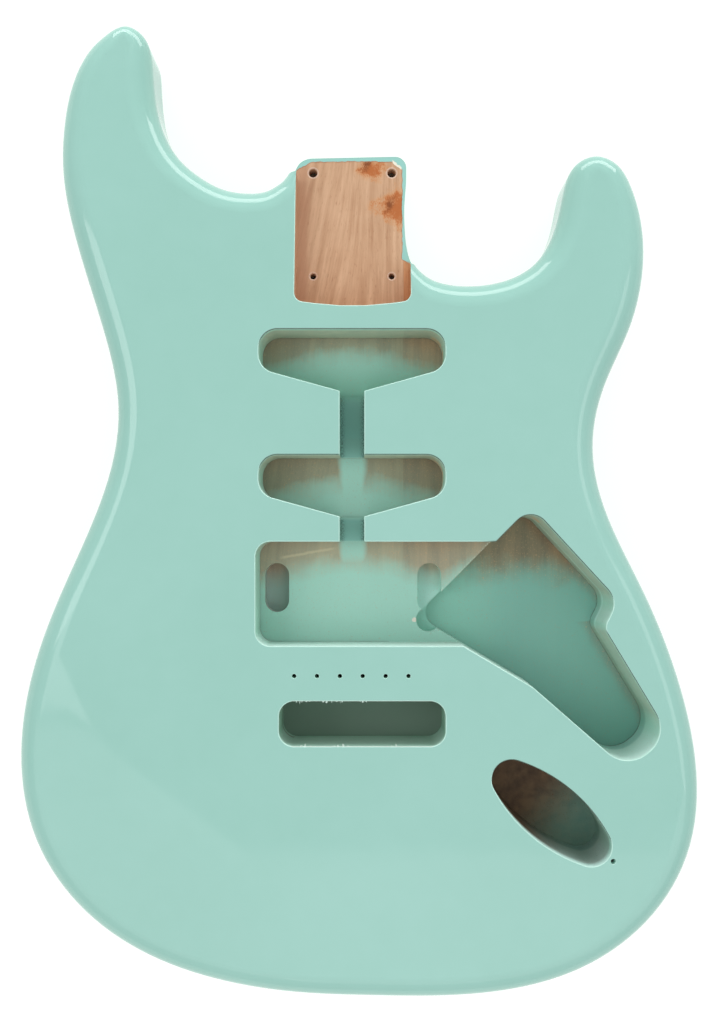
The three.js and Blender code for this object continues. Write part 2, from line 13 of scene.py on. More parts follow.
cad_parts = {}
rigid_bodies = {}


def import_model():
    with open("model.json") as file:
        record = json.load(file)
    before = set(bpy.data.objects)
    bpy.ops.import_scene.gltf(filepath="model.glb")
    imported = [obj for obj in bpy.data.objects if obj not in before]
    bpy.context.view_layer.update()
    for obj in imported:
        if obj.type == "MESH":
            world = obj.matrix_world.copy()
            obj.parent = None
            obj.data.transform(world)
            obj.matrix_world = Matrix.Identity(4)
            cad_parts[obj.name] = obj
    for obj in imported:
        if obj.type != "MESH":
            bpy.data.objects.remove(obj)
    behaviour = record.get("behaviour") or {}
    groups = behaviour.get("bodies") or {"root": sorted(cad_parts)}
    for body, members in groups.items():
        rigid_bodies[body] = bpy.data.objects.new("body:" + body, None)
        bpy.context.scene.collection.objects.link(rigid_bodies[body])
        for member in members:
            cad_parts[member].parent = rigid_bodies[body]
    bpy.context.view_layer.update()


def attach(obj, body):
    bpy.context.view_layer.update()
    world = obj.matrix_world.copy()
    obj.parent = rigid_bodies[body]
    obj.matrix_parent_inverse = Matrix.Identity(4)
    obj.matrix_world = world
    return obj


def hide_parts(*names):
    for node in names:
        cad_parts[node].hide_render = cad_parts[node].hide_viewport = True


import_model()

# The glued blank: a solid body of light hardwood boards, glued edge to edge, sawn to the outline
# and rounded over. The forearm contour is shaped in the front and the belly contour in the back.
MM = 0.001
body_thickness = 45.0
bass_reach, treble_reach = 161.2, 166.0
horn_reach, tail_reach = 133.2, 330.8
edge_radius = 12.5
block_end, block_slant = 74.3, 0.9
block_bass, block_treble, block_corner, block_edge = 19.5, 26.2, 5.5, 0.28
forearm_line, forearm_angle, forearm_bend, forearm_slope = 181.5, math.radians(212.4), 35.0, 0.115
belly_depth, belly_line, belly_width, belly_bend = 17.0, 45.0, 68.0, 0.4
belly_middle, belly_reach = -60.0, 98.0

# How finely the skin is divided: degrees and mm along the outline, points round an edge, mm in
# the contours
longest_turn, longest_run, spacing_power = 3.5, 6.0, 0.75
corner_points, edge_points = 19, 9
net_step, net_margin = 7.0, 8.0

# Anchors of the outline: shares of the reach across and along, and of the edge's radius. In the
# cutaways the share across runs from the neck block to the reach.
bass_cutaway = [
    (0.043, 0.533, 0.32), (0.067, 0.487, 0.6), (0.110, 0.441, 0.9), (0.160, 0.416, 1),
    (0.220, 0.411, 1), (0.301, 0.426, 1), (0.383, 0.473, 1), (0.447, 0.532, 1),
    (0.498, 0.619, 1), (0.529, 0.736, 1),
]
bass_horn_and_side = [
    (-0.595, 0.863, 0.95), (-0.612, 0.956, 0.72), (-0.664, 1.000, 0.66), (-0.752, 0.956, 0.9),
    (-0.824, 0.834, 1), (-0.861, 0.634, 1), (-0.861, 0.456, 1), (-0.816, 0.204, 1),
    (-0.743, -0.034, 1), (-0.699, -0.145, 1), (-0.731, -0.252, 1), (-0.839, -0.382, 1),
    (-0.949, -0.514, 1), (-1.000, -0.650, 1), (-0.957, -0.780, 1), (-0.808, -0.885, 1),
]
tail = [
    (-0.578, -0.955, 1), (-0.274, -0.991, 1), (0.052, -1.000, 1), (0.370, -0.997, 1),
    (0.660, -0.961, 1), (0.873, -0.881, 1),
]
treble_side_and_horn = [
    (0.979, -0.782, 1), (0.998, -0.674, 1), (0.950, -0.550, 1), (0.850, -0.419, 1),
    (0.740, -0.303, 1), (0.698, -0.206, 1), (0.732, -0.114, 1), (0.807, -0.027, 1),
    (0.845, 0.195, 1), (0.817, 0.405, 1), (0.759, 0.518, 0.9), (0.693, 0.538, 0.78),
    (0.639, 0.500, 0.8), (0.613, 0.420, 0.95), (0.595, 0.315, 1),
]
treble_cutaway = [
    (0.455, 0.173, 1), (0.349, 0.100, 1), (0.226, 0.077, 1), (0.109, 0.091, 1),
    (0.038, 0.135, 0.8), (0.004, 0.210, 0.5),
]
treble_block = [(0.969, 0.538, 0.3), (0.963, 0.672, 0.28), (0.995, 0.821, 0.28)]


def outline():
    """Points round the body, anticlockwise from above, with outward directions and edge radii."""
    def along(share):
        return share * (tail_reach if share < 0 else horn_reach)

    rows = [(-block_bass, block_end - block_slant, block_edge)]
    rows += [(-block_bass - a * (bass_reach - block_bass), along(b), e) for a, b, e in bass_cutaway]
    rows += [
        (a * (bass_reach if a < 0 else treble_reach), along(b), e)
        for a, b, e in bass_horn_and_side + tail + treble_side_and_horn
    ]
    rows += [
        (block_treble + a * (treble_reach - block_treble), along(b), e) for a, b, e in treble_cutaway
    ]
    rows += [(a * block_treble, b * block_end, e) for a, b, e in treble_block]
    rows += [(block_treble, block_end - block_corner, block_edge)]
    rows = np.array(rows)
    anchors, edges = rows[:, :2], rows[:, 2]

    # The curve's slopes at the anchors, settled so that its curvature has no jumps
    runs = np.linalg.norm(np.diff(anchors, axis=0), axis=1)
    gaps = runs ** spacing_power
    count = len(anchors)
    system = np.eye(count)
    pull = np.zeros((count, 2))
    start = np.array([-(block_bass + block_treble - block_corner), -block_slant])
    pull[0] = start / np.linalg.norm(start) * runs[0] / gaps[0]
    pull[-1] = (0, runs[-1] / gaps[-1])
    for i in range(1, count - 1):
        before, after = gaps[i - 1], gaps[i]
        system[i, i - 1:i + 2] = after, 2 * (before + after), before
        pull[i] = 3 * after / before * (anchors[i] - anchors[i - 1])
        pull[i] += 3 * before / after * (anchors[i + 1] - anchors[i])
    slopes = np.linalg.solve(system, pull)

    # Points along each stretch, closer together where it turns more
    points, heads, radii = [], [], []
    for i, gap in enumerate(gaps):
        def place(t):
            t = np.asarray(t)[:, None]
            spot = (2 * t**3 - 3 * t**2 + 1) * anchors[i] + (t**3 - 2 * t**2 + t) * gap * slopes[i]
            spot = spot + (3 * t**2 - 2 * t**3) * anchors[i + 1] + (t**3 - t**2) * gap * slopes[i + 1]
            head = (6 * t**2 - 6 * t) / gap * (anchors[i] - anchors[i + 1])
            head = head + (3 * t**2 - 4 * t + 1) * slopes[i] + (3 * t**2 - 2 * t) * slopes[i + 1]
            return spot, head / np.linalg.norm(head, axis=1)[:, None]

        look = place(np.linspace(0, 1, edge_points))[1]
        turn = np.degrees(np.arccos(np.clip((look[1:] * look[:-1]).sum(1), -1, 1))).sum()
        steps = math.ceil(max(turn / longest_turn, runs[i] / longest_run))
        t = np.arange(steps) / steps
        spot, head = place(t)
        points.append(spot)
        heads.append(head)
        radii.append((edges[i] + (edges[i + 1] - edges[i]) * t * t * (3 - 2 * t)) * edge_radius)

    # The block's treble corner is a quarter circle
    turn = np.radians(np.linspace(0, 90, corner_points))
    out = np.stack([np.cos(turn), np.sin(turn)], 1)
    points.append(np.array([block_treble, block_end]) - block_corner + block_corner * out)
    heads.append(np.stack([-out[:, 1], out[:, 0]], 1))
    radii.append(np.full(corner_points, block_edge * edge_radius))
    heads = np.concatenate(heads)
    outward = np.stack([heads[:, 1], -heads[:, 0]], 1)
    return np.concatenate(points), outward, np.concatenate(radii)


def eased_fall(distance, bend):
    """A fall that starts gently and runs on at an even slope once it has passed the bend."""
    return np.where(distance < bend, np.maximum(distance, 0) ** 2 / (2 * bend), distance - bend / 2)


def front_height(x, y):
    """The front, with the forearm contour falling away over the bass lower bout."""
    distance = x * math.cos(forearm_angle) + y * math.sin(forearm_angle) - forearm_line
    return body_thickness - forearm_slope * eased_fall(distance, forearm_bend)


def back_height(x, y):
    """The back, with the belly contour scooped out of the bass waist."""
    along = np.clip(np.abs(y - belly_middle) / belly_reach, 0, 1)
    scoop = eased_fall((-belly_line - x) / belly_width, belly_bend)
    scoop = scoop / eased_fall(np.float64(1), belly_bend)
    return belly_depth * scoop * np.cos(math.pi / 2 * along) ** 2


def near_forearm(x, y):
    """On the forearm contour or a little before it, where the net is fine."""
    return 0.85 * x + 0.54 * y < -165


def near_belly(x, y):
    """On the belly contour or a little before it."""
    return x < net_step - belly_line and abs(y - belly_middle) < belly_reach + net_margin


def cap(border, height, busy):
    """Triangles that fill a border: a fine net where the face is contoured, a wide one elsewhere."""
    low, high = border.min(0), border.max(0)
    ends = np.roll(border, -1, axis=0)
    tree = KDTree(len(border))
    for i, (x, y) in enumerate(border):
        tree.insert((x, y, 0), i)
    tree.balance()
    inner = []
    for row, y in enumerate(np.arange(low[1], high[1], net_step)):
        crossing = (border[:, 1] > y) != (ends[:, 1] > y)
        a, b = border[crossing], ends[crossing]
        cuts = np.sort(a[:, 0] + (y - a[:, 1]) / (b[:, 1] - a[:, 1]) * (b[:, 0] - a[:, 0]))
        for column, x in enumerate(np.arange(low[0], high[0], net_step)):
            inside = np.searchsorted(cuts, x) % 2 == 1
            wanted = busy(x, y) or (row % 2 == 0 and column % 2 == 0)
            if inside and wanted and tree.find((x, y, 0))[2] > net_step / 2:
                inner.append((x, y))
    points = [tuple(p) for p in border] + inner
    found = delaunay_2d_cdt(points, [], [list(range(len(border)))], 1, 1e-6)
    faces = [[found[3][i][0] for i in face] for face in found[2]]
    spots = np.array(inner)
    return np.column_stack([spots, height(spots[:, 0], spots[:, 1])]), faces


def slopes_of(height, x, y):
    """How steeply a face rises across and along at each place."""
    d = 0.01
    across = (height(x + d, y) - height(x - d, y)) / (2 * d)
    return np.stack([across, (height(x, y + d) - height(x, y - d)) / (2 * d)], 1)


def body_skin():
    """Corners, outward directions and faces of the whole shaped body before it is routed."""
    spots, outward, radii = outline()
    count = len(spots)

    # Rings of corners from the front's flat, over the rounded edges, to the back's flat
    corners, outs = [], []
    for side, height in ((1, front_height), (-1, back_height)):
        turns = np.radians(np.linspace(0, 90, edge_points))
        for turn in turns if side > 0 else turns[::-1]:
            flat = spots - outward * (radii * (1 - math.sin(turn)))[:, None]
            level = height(flat[:, 0], flat[:, 1]) - side * radii * (1 - math.cos(turn))
            lean = outward * math.sin(turn)
            lean = lean - side * slopes_of(height, flat[:, 0], flat[:, 1]) * math.cos(turn)
            corners.append(np.column_stack([flat, level]))
            outs.append(np.column_stack([lean, np.full(count, side * math.cos(turn))]))
    faces = []
    for ring in range(len(corners) - 1):
        upper, lower = ring * count, (ring + 1) * count
        for i in range(count):
            j = (i + 1) % count
            faces.append([lower + i, lower + j, upper + j, upper + i])

    # The front and the back inside the first and the last ring
    caps = (
        (0, 1, front_height, near_forearm),
        (len(corners) - 1, -1, back_height, near_belly),
    )
    for ring, side, height, busy in caps:
        border = corners[ring][:, :2]
        inner, found = cap(border, height, busy)
        added = sum(len(c) for c in corners)
        slopes = slopes_of(height, inner[:, 0], inner[:, 1])
        corners.append(inner)
        outs.append(np.column_stack([-side * slopes, np.full(len(inner), float(side))]))
        for face in found:
            face = [i + ring * count if i < count else i - count + added for i in face]
            faces.append(face if side > 0 else face[::-1])
    outs = np.concatenate(outs)
    return np.concatenate(corners), outs / np.linalg.norm(outs, axis=1)[:, None], faces


def mesh_object(name, corners, faces):
    """A new object in the scene from corners in millimetres."""
    mesh = bpy.data.meshes.new(name)
    mesh.from_pydata([tuple(c) for c in np.asarray(corners) * MM], [], faces)
    mesh.update()
    piece = bpy.data.objects.new(name, mesh)
    bpy.context.scene.collection.objects.link(piece)
    return piece


# Degrees between the points of a rounded corner, and the sides of a drilled hole
arc_step, drill_sides = 6, 20


def rounded(corners):
    """An outline with rounded corners, from corners given as x, y and radius."""
    spots = np.array([c[:2] for c in corners], float)
    path = []
    for i, (_, _, radius) in enumerate(corners):
        corner = spots[i]
        before, after = spots[i - 1] - corner, spots[(i + 1) % len(spots)] - corner
        before, after = before / np.linalg.norm(before), after / np.linalg.norm(after)
        if radius == 0:
            path.append(corner)
            continue
        half = math.acos(before @ after) / 2
        inward = (before + after) / np.linalg.norm(before + after)
        centre = corner + inward * radius / math.sin(half)
        start = corner + before * radius / math.tan(half) - centre
        end = corner + after * radius / math.tan(half) - centre
        first = math.atan2(start[1], start[0])
        swing = math.atan2(end[1], end[0]) - first
        swing = (swing + math.pi) % (2 * math.pi) - math.pi
        steps = max(2, math.ceil(abs(math.degrees(swing)) / arc_step))
        for k in range(steps + 1):
            turn = first + swing * k / steps
            path.append(centre + radius * np.array([math.cos(turn), math.sin(turn)]))
    path = np.array(path)
    ends = np.roll(path, -1, axis=0)
    area = (path[:, 0] * ends[:, 1] - ends[:, 0] * path[:, 1]).sum()
    return path if area > 0 else path[::-1]


def box_outline(left, right, bottom, top, radius=0.0):
    return rounded([(left, bottom, radius), (right, bottom, radius), (right, top, radius),
                    (left, top, radius)])


def circle(x, y, radius, sides=32):
    turn = np.arange(sides) * 2 * math.pi / sides
    return np.stack([x + radius * np.cos(turn), y + radius * np.sin(turn)], 1)


def widened(path, distance):
    """The outline moved outwards by a distance."""
    ahead = np.roll(path, -1, axis=0) - path
    ahead = ahead / np.linalg.norm(ahead, axis=1)[:, None]
    normal = np.stack([ahead[:, 1], -ahead[:, 0]], 1)
    before = np.roll(normal, 1, axis=0)
    return path + distance * (normal + before) / (1 + (normal * before).sum(1))[:, None]


def cutter(path, levels):
    """A router cut: the outline, widened by the given amount at each height."""
    count = len(path)
    corners = np.concatenate([
        np.column_stack([widened(path, wide), np.full(count, height)]) for height, wide in levels
    ])
    faces = [list(range(count))[::-1], [len(corners) - count + i for i in range(count)]]
    for ring in range(len(levels) - 1):
        for i in range(count):
            j = (i + 1) % count
            low, high = ring * count, (ring + 1) * count
            faces.append([low + i, low + j, high + j, high + i])
    return mesh_object("cut", corners, faces)


def bore(start, end, radius):
    """A drilled hole between two points, for a wire."""
    start, end = np.array(start, float), np.array(end, float)
    axis = (end - start) / np.linalg.norm(end - start)
    across = np.cross(axis, (0, 0, 1.0))
    across = across / np.linalg.norm(across)
    up = np.cross(across, axis)
    turn = np.arange(drill_sides)[:, None] * 2 * math.pi / drill_sides
    ring = radius * (np.cos(turn) * across + np.sin(turn) * up)
    corners = np.concatenate([start + ring, end + ring])
    first = list(range(drill_sides))
    faces = [first, [i + drill_sides for i in reversed(first)]]
    for i in first:
        j = (i + 1) % drill_sides
        faces.append([i, i + drill_sides, j + drill_sides, j])
    return mesh_object("cut", corners, faces)


def carve(piece, cuts, operation="DIFFERENCE"):
    """Takes the cuts away from a piece and keeps the result as its mesh."""
    for cut in cuts:
        step = piece.modifiers.new("cut", "BOOLEAN")
        step.operation = operation
        step.solver = "MANIFOLD"
        step.object = cut
    bpy.context.view_layer.update()
    made = bpy.data.meshes.new_from_object(piece.evaluated_get(bpy.context.evaluated_depsgraph_get()))
    piece.modifiers.clear()
    old = piece.data
    piece.data = made
    made.name = piece.name
    bpy.data.meshes.remove(old)


def scrap(pieces):
    """Removes what was only needed on the way."""
    for piece in pieces:
        mesh = piece.data
        bpy.data.objects.remove(piece)
        bpy.data.meshes.remove(mesh)


# Neck pocket: holds the heel of a bolt-on neck. It is routed open to the block's end, with four
# bolt holes through its floor, and its walls run out to thin blades at both cutaways.
front_top, back_bottom = body_thickness + 2, -2.0
pocket_floor = 29.0
pocket_bass, pocket_treble, pocket_taper = -27.3, 27.8, 1.1
pocket_end, pocket_corner = 80.5, 4.2
heel_line, heel_bow, heel_radius = 1.07, 3.7, 140
pocket = rounded([
    (pocket_bass, heel_line, pocket_corner),
    ((pocket_bass + pocket_treble) / 2, heel_line - heel_bow, heel_radius),
    (pocket_treble, heel_line, pocket_corner), (pocket_treble, pocket_end, pocket_corner),
    (pocket_bass + pocket_taper, pocket_end, pocket_corner),
])
blades = [box_outline(-31, -25, 62.6, 90), box_outline(26.5, 31, 19.4, 60)]
bolt_side, bolt_bevel, hair = 19.1, 0.4, 0.05
bolt_rows = ((16.2, 1.45), (66.4, 2.1))
neck_bolts = [circle(side * bolt_side, line, radius, 24) for line, radius in bolt_rows for side in (-1, 1)]

# Pickup routs, wiring channel and bridge pool: routed from the front, for the pickups and their
# wires. The pool has a deeper slot for each mounting leg and runs into the control cavity.
rout_floor, channel_floor, leg_floor = 21.0, 22.0, 13.0
rout_half, rout_side, rout_length, rout_corner = 44.15, 18.5, 29.1, 9
rout_fronts = (-12.5, -71.8)
channel_half, channel_front, channel_tail = 5.8, -31.0, -119.8
pickup_routs = [
    rounded([
        (-rout_half, front, rout_corner), (-rout_half, front - rout_side, rout_corner),
        (-channel_half, front - rout_length, 0), (channel_half, front - rout_length, 0),
        (rout_half, front - rout_side, rout_corner), (rout_half, front, rout_corner),
    ])
    for front in rout_fronts
]
channel = box_outline(-channel_half, channel_half, channel_tail, channel_front)
pool_front, pool_tail, pool_corner = -112.8, -162.1, 7
pool_bass, pool_treble_tail, pool_treble_front = -45.6, 56, 70
pool = rounded([
    (pool_bass, pool_front, pool_corner), (pool_bass, pool_tail, pool_corner),
    (pool_treble_tail, pool_tail, 0), (pool_treble_front, pool_front, 0),
])
leg_half, leg_front, leg_tail, leg_corner = 5.9, -123.35, -147.45, 5.89
leg_sides = (-37.2, 37.8)
leg_slots = [
    box_outline(x - leg_half, x + leg_half, leg_tail, leg_front, leg_corner) for x in leg_sides
]
plunge = circle(37.5, -151.1, 6.2)

# Control cavity and jack cavity: the deepest routs, for the controls' switch and pots and for the
# jack under its oval plate. A long drill joins them, and the plate has one screw in the wood.
control_floor, control_bass, control_tail, control_length = 6.5, 36.0, -215.5, 115.6
control_width = treble_reach - 21.5 - control_bass
control_corners = [
    (control_bass + across * control_width, control_tail + along * control_length, radius)
    for across, along, radius in (
        (0.448, 1.032, 9), (-0.041, 0.570, 8), (0.457, 0.293, 15), (0.866, -0.042, 13.9),
        (1.046, 0.099, 13.9), (0.765, 0.536, 6), (0.825, 0.648, 10),
    )
]
controls = rounded(control_corners)
apex, bass_corner_of_controls = control_corners[0][:2], control_corners[1][:2]
jack_floor, jack_half_length, jack_half_width, jack_end_radius = 8.0, 34.0, 14.25, 9.5
jack_middle, jack_turn = np.array([treble_reach - 71.7, -241.0]), math.radians(-39.8)
jack_along = np.array([math.cos(jack_turn), math.sin(jack_turn)])
jack_across = np.array([-jack_along[1], jack_along[0]])
end_reach = jack_half_length - jack_end_radius
side_radius = end_reach**2 + jack_half_width**2 - jack_end_radius**2
side_radius = side_radius / (2 * (jack_half_width - jack_end_radius))
end_turn = math.atan2(side_radius - jack_half_width, end_reach)
jack = []
for side in (1, -1):
    heading = jack_turn + (0 if side > 0 else math.pi)
    end_centre = jack_middle + side * end_reach * jack_along
    side_centre = jack_middle + side * (jack_half_width - side_radius) * jack_across
    for centre, radius, first, last, steps in (
        (end_centre, jack_end_radius, heading - end_turn, heading + end_turn, 20),
        (side_centre, side_radius, heading + end_turn, heading + math.pi - end_turn, 16),
    ):
        for k in range(steps):
            turn = first + (last - first) * k / steps
            jack.append(centre + radius * np.array([math.cos(turn), math.sin(turn)]))
jack = np.array(jack)
plate_screw_floor, bridge_screw_floor = 29.0, 20.0
plate_screw_reach, screw_sides = 36.9, 16
plate_screw = circle(*(jack_middle + plate_screw_reach * jack_along + jack_across), 1.2, screw_sides)
wire_level, wire_radius = 20.0, 4.0
jack_wire = ((treble_reach - 37.0, -205.0, wire_level), (*jack_middle, wire_level), wire_radius)

# Tremolo slot and spring cavity: the slot goes right through for the tremolo's block, which swings
# in a wider recess in the back, where the springs run. Six screws in a row hold the bridge.
slot_bass, slot_treble, slot_front, slot_tail = -34.5, 44.2, -188.2, -209.4
slot_middle = (slot_front + slot_tail) / 2
slot = box_outline(slot_bass, slot_treble, slot_tail, slot_front, 7.2)
spring_roof, spring_corner, recess_side, recess_end = 16.0, 6.3, 1.5, 4.0
recess_tail = slot_tail - recess_end
spring_run = box_outline(-29, 29, recess_tail, -100, spring_corner)
block_recess = box_outline(slot_bass - recess_side, slot_treble + recess_side, recess_tail,
                           slot_front + recess_end, spring_corner)
screw_count, screw_spacing, screw_offset, screw_line, screw_radius = 6, 10.8, -0.3, -176.3, 1.05
bridge_screws = [
    circle((i - (screw_count - 1) / 2) * screw_spacing + screw_offset, screw_line, screw_radius, screw_sides)
    for i in range(screw_count)
]
ground_wire = ((0.0, -150.0, 10.5), (44.0, -150.0, 10.5), 2.0)

front_routs = (
    (pocket, pocket_floor), (pickup_routs[0], rout_floor), (pickup_routs[1], rout_floor),
    (channel, channel_floor), (pool, rout_floor), (controls, control_floor), (jack, jack_floor),
    (slot, back_bottom),
)
# The routs are cut through the blank, less the lacquer's film
wood_cuts = [cutter(path, [(bottom, 0), (front_top, 0)]) for path, bottom in (
    *front_routs, (leg_slots[0], leg_floor), (leg_slots[1], leg_floor), (plunge, leg_floor),
    (plate_screw, plate_screw_floor), *((path, bridge_screw_floor) for path in bridge_screws),
)]
bolt_levels = [(back_bottom, 0), (pocket_floor + hair - bolt_bevel, 0), (pocket_floor + hair, bolt_bevel)]
wood_cuts += [cutter(path, bolt_levels) for path in neck_bolts]
wood_cuts += [cutter(path, [(back_bottom, 0), (spring_roof, 0)]) for path in (spring_run, block_recess)]
wood_cuts += [cutter(path, [(pocket_floor, 0), (front_top, 0)]) for path in blades]
wood_cuts += [bore(*ground_wire), bore(*jack_wire)]
skin_corners, skin_outs, skin_faces = body_skin()
film = 0.5
blank = mesh_object("blank", skin_corners - skin_outs * film, skin_faces)
carve(blank, wood_cuts)
scrap(wood_cuts)


# Bare wood of the boards: sanded hardwood with a soft figure, seen in the masked pocket and down
# in the cavities, where only a mist of lacquer reached it. Its look is worked out in the shader.
class Field:
    """A value that a shader works out at each place, so that sums with it are written as sums."""

    def __init__(self, socket):
        self.socket = socket

    def __add__(self, other):
        return calculate("ADD", self, other)

    def __sub__(self, other):
        return calculate("SUBTRACT", self, other)

    def __rsub__(self, other):
        return calculate("SUBTRACT", other, self)

    def __mul__(self, other):
        return calculate("MULTIPLY", self, other)

    def __abs__(self):
        return calculate("ABSOLUTE", self)


def node(kind, settings=None, tree=None, **inputs):
    """A new shader node. Its inputs, given by name or as _number, take values or fields."""
    if tree is None:
        tree = next(value.socket.id_data for value in inputs.values() if isinstance(value, Field))
    made = tree.nodes.new("ShaderNode" + kind)
    for name, value in (settings or {}).items():
        setattr(made, name, value)
    for name, value in inputs.items():
        socket = made.inputs[int(name[1:])] if name[0] == "_" else made.inputs[name.replace("_", " ")]
        if isinstance(value, Field):
            tree.links.new(value.socket, socket)
        else:
            socket.default_value = (*value, 1) if socket.type == "RGBA" else value
    return made


def calculate(operation, *values, limited=False):
    settings = {"operation": operation, "use_clamp": limited}
    return Field(node("Math", settings, **{f"_{i}": value for i, value in enumerate(values)}).outputs[0])


def greatest(first, *others):
    for other in others:
        first = calculate("MAXIMUM", first, other)
    return first


def least(first, *others):
    for other in others:
        first = calculate("MINIMUM", first, other)
    return first


def length_of(across, along):
    return calculate("SQRT", across * across + along * along)


def limit(value):
    return calculate("ADD", value, 0.0, limited=True)


def fade(value, first, last, start=0.0, end=1.0):
    """Goes smoothly from the start to the end while the value goes from the first to the last."""
    settings = {"interpolation_type": "SMOOTHSTEP"}
    return Field(node("MapRange", settings, _0=value, _1=first, _2=last, _3=start, _4=end).outputs[0])


def band(value, rises, risen, falls, fallen):
    """1 in a band of the value and 0 outside it, with soft edges."""
    return fade(value, rises, risen) * fade(value, fallen, falls)


def mix(share, first, second):
    return Field(node("Mix", {"data_type": "FLOAT"}, _0=share, _2=first, _3=second).outputs[0])


def paint(under, over, share, kind="MIX"):
    """One colour laid over another, by a share, or multiplied into it."""
    settings = {"data_type": "RGBA", "blend_type": kind}
    return Field(node("Mix", settings, _0=share, _6=under, _7=over).outputs[2])


def ramp(value, stops):
    """A colour or a grey value along a scale, from places and colours."""
    made = node("ValToRGB", Fac=value)
    scale = made.color_ramp
    while len(scale.elements) < len(stops):
        scale.elements.new(0.5)
    for element, (place, colour) in zip(scale.elements, stops):
        element.position = place
        element.color = (*colour, 1) if isinstance(colour, tuple) else (colour, colour, colour, 1)
    return Field(made.outputs[0])


def noise(place, scale, detail=2.0):
    """Soft random values. The scale is one number, or one for each direction."""
    if isinstance(scale, tuple):
        place, scale = Field(node("Mapping", _0=place, _3=scale).outputs[0]), 1.0
    return Field(node("TexNoise", Vector=place, Scale=scale, Detail=detail).outputs["Fac"])


def from_line(at, start, end):
    """How far a place lies to the left of the line from start to end, in mm."""
    ahead = np.array(end, float) - np.array(start, float)
    across, along = (float(share) for share in np.array([-ahead[1], ahead[0]]) / np.linalg.norm(ahead))
    return at.x * across + (at.y * along - (across * start[0] + along * start[1]))


def srgb(red, green, blue):
    shares = (red / 255, green / 255, blue / 255)
    return tuple(s / 12.92 if s < 0.04045 else ((s + 0.055) / 1.055) ** 2.4 for s in shares)


def empty_material(name):
    made = bpy.data.materials.new(name)
    made.use_nodes = True
    made.node_tree.nodes.clear()
    return made


def place_in(tree, normal):
    """Where a point of the surface lies, in mm, and which way it faces there."""
    spot = Field(node("TexCoord", tree=tree).outputs["Object"])
    mm = Field(node("VectorMath", {"operation": "SCALE"}, _0=spot, Scale=1 / MM).outputs[0])
    facing = Field(node("NewGeometry", tree=tree).outputs[normal])
    x, y, z = (Field(socket) for socket in node("SeparateXYZ", Vector=mm).outputs)
    to_x, to_y, to_z = (Field(socket) for socket in node("SeparateXYZ", Vector=facing).outputs)
    return SimpleNamespace(mm=mm, x=x, y=y, z=z, to_x=to_x, to_y=to_y, to_z=to_z)


def finish_surface(colour, rough, relief, strength, depth, **settings):
    bump = Field(node("Bump", Strength=strength, Distance=depth, Height=relief).outputs[0])
    shader = node("BsdfPrincipled", Base_Color=colour, Roughness=rough, Normal=bump, **settings)
    node("OutputMaterial", Surface=Field(shader.outputs[0]))


def mark_zones(at):
    """Adds to a place in which cavity it lies, and the noises that all the wood shares."""
    at.side = abs(at.x)
    at.is_floor = fade(at.to_z, 0.4, 0.8)
    at.is_wall = 1.0 - at.is_floor
    at.ridge = from_line(at, apex, bass_corner_of_controls)
    at.in_controls = fade(at.z, 19.0, 15.0) * fade(at.ridge, -1.0, 1.0)
    at.in_jack = fade(at.x, 58.0, 62.0) * fade(at.x * 0.7 + at.y, -152.0, -157.0)
    first, second = (
        fade(at.side, 6.1, channel_half) * band(at.y, tail, tail + 0.8, front, front + fall)
        for tail, front, fall in ((rout_fronts[1], -46.0, 8.0), (pool_front, -103.0, 3.0))
    )
    at.in_channel = greatest(first, second)
    at.in_leg_slots = fade(at.z, 20.8, 20.2) * (1.0 - at.in_controls)
    at.in_leg_slots = at.in_leg_slots * band(at.y, -158.5, -158.0, -122.0, -121.0)
    at.in_slot = band(at.y, -213.0, -209.6, -187.5, -184.5) * fade(at.side, 50.0, 46.0)
    at.in_pool = fade(at.y, -103.0, -104.0) * (1.0 - at.in_controls)
    at.in_pocket = fade(at.y, -4.0, -1.0)
    at.cloud = noise(at.mm, 0.07, 4.0)
    at.ragged = noise(at.mm, 0.3, 4.0)
    at.speckle = noise(at.mm, (2.4, 1.0, 1.0), 3.0)
    at.speck = noise(at.mm, 1.6)


